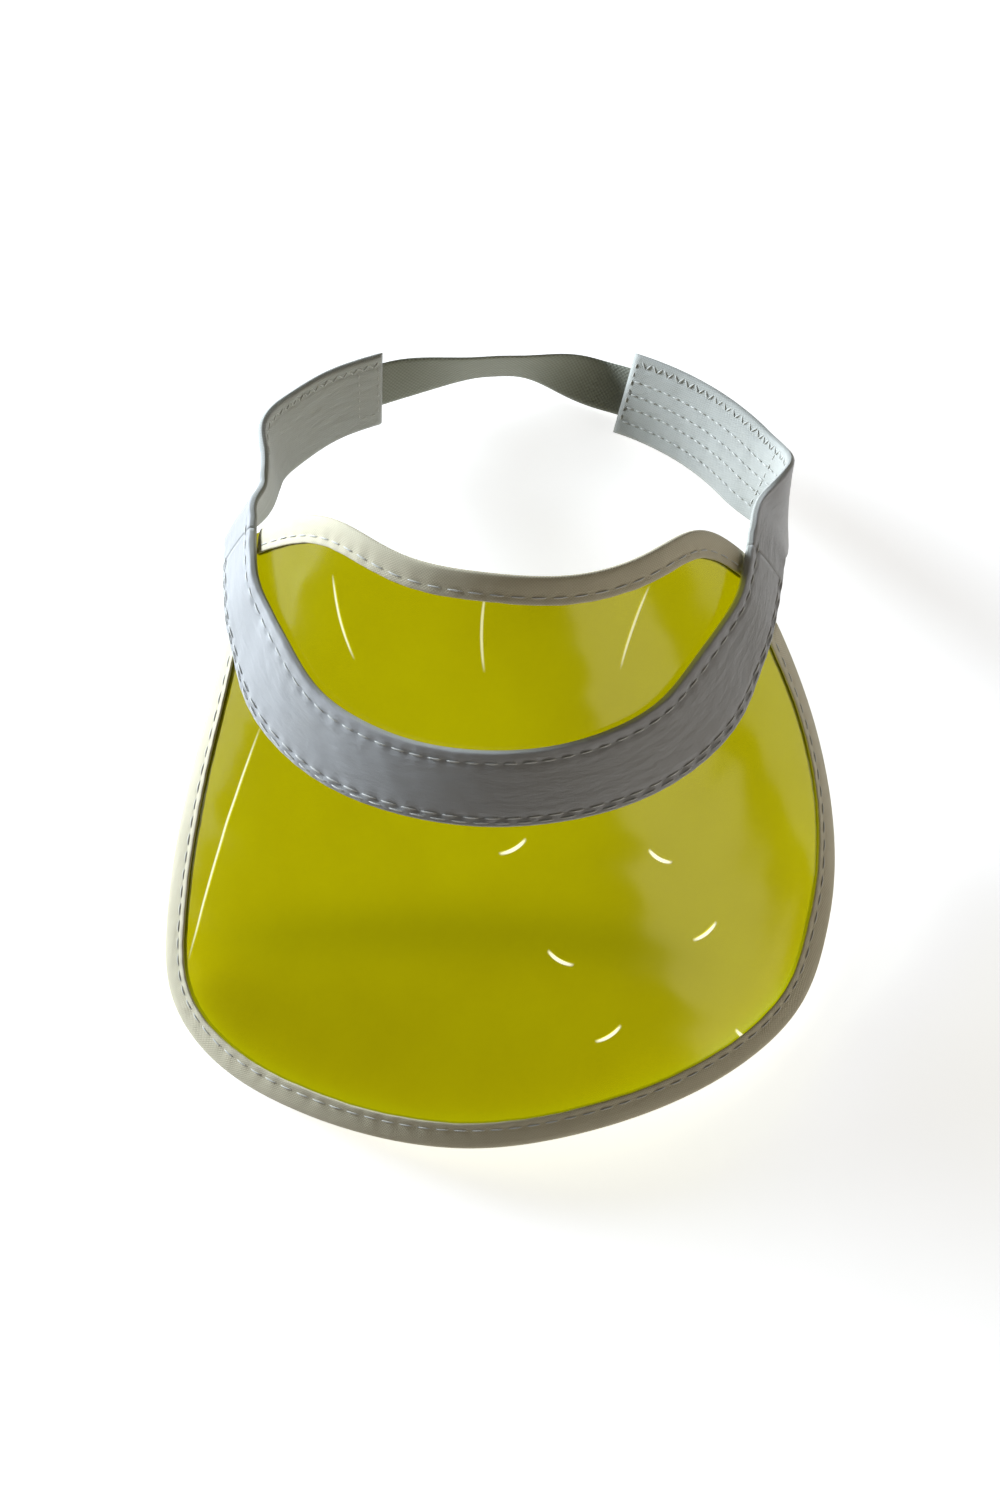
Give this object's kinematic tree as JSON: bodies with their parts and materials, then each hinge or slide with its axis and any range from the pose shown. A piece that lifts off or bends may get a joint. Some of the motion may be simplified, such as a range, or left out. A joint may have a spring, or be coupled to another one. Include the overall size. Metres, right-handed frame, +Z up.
{
  "type": "sun visor",
  "caption": "Open-crown sun visor with a curved transparent brim bound in fabric tape, a padded head band and a hook-and-loop rear strap.",
  "frame": {"origin": "centre of the head opening, midway up the band", "axes": "+Z up with the visor resting on its brim and rear strap, +Y toward the wearer's back, -Y toward the brim"},
  "size_m": [0.2084, 0.2629, 0.1097],
  "materials": {
    "clear_pvc": "smooth transparent yellow PVC film",
    "binding_tape": "woven white tape",
    "band_fabric": "white satin-like weave",
    "foam": "soft cream foam",
    "lining": "cream cloth",
    "thread": "white sewing thread",
    "strap_webbing": "pale grey tape",
    "hook_tape": "stiff hook pile",
    "loop_tape": "soft loop pile"
  },
  "bodies": {
    "front": {"visor_sheet": "clear_pvc", "brim_binding": "binding_tape", "crown_binding": "binding_tape", "brim_binding_thread": "thread", "crown_binding_thread": "thread", "front_band_cover": "band_fabric", "front_band_foam": "foam", "front_band_lining": "lining", "band_upper_thread": "thread", "band_lower_thread": "thread", "band_edge_thread": "thread"},
    "left_arm": {"left_arm_cover": "band_fabric", "left_arm_foam": "foam", "left_arm_lining": "lining", "left_arm_row_1": "thread", "strap_root": "strap_webbing"},
    "right_arm": {"right_arm_cover": "band_fabric", "right_arm_foam": "foam", "right_arm_lining": "lining", "right_arm_row_1": "thread", "right_arm_row_2": "thread", "right_arm_row_3": "thread", "right_arm_row_4": "thread", "right_arm_row_5": "thread", "loop_panel": "loop_tape"},
    "strap": {"adjuster_strap": "strap_webbing", "hook_patch": "hook_tape"}
  },
  "joints": [
    {"name": "left_arm_flex", "type": "hinge", "parent": "front", "child": "left_arm", "pos_m": [-0.08071, 0.01204, -0.00043], "axis": [0, 0.4099, 0.9121], "range_deg": [-4, 4]},
    {"name": "right_arm_flex", "type": "hinge", "parent": "front", "child": "right_arm", "pos_m": [0.08071, 0.01204, -0.00043], "axis": [0, 0.4099, 0.9121], "range_deg": [-4, 4]},
    {"name": "strap_peel", "type": "hinge", "parent": "left_arm", "child": "strap", "pos_m": [-0.04693, 0.08004, -0.04163], "axis": [0.0315, 0.5629, 0.8259], "range_deg": [0, 60]}
  ],
  "couplings": [
    {"joint": "right_arm_flex", "follows": "left_arm_flex", "ratio": -1}
  ]
}
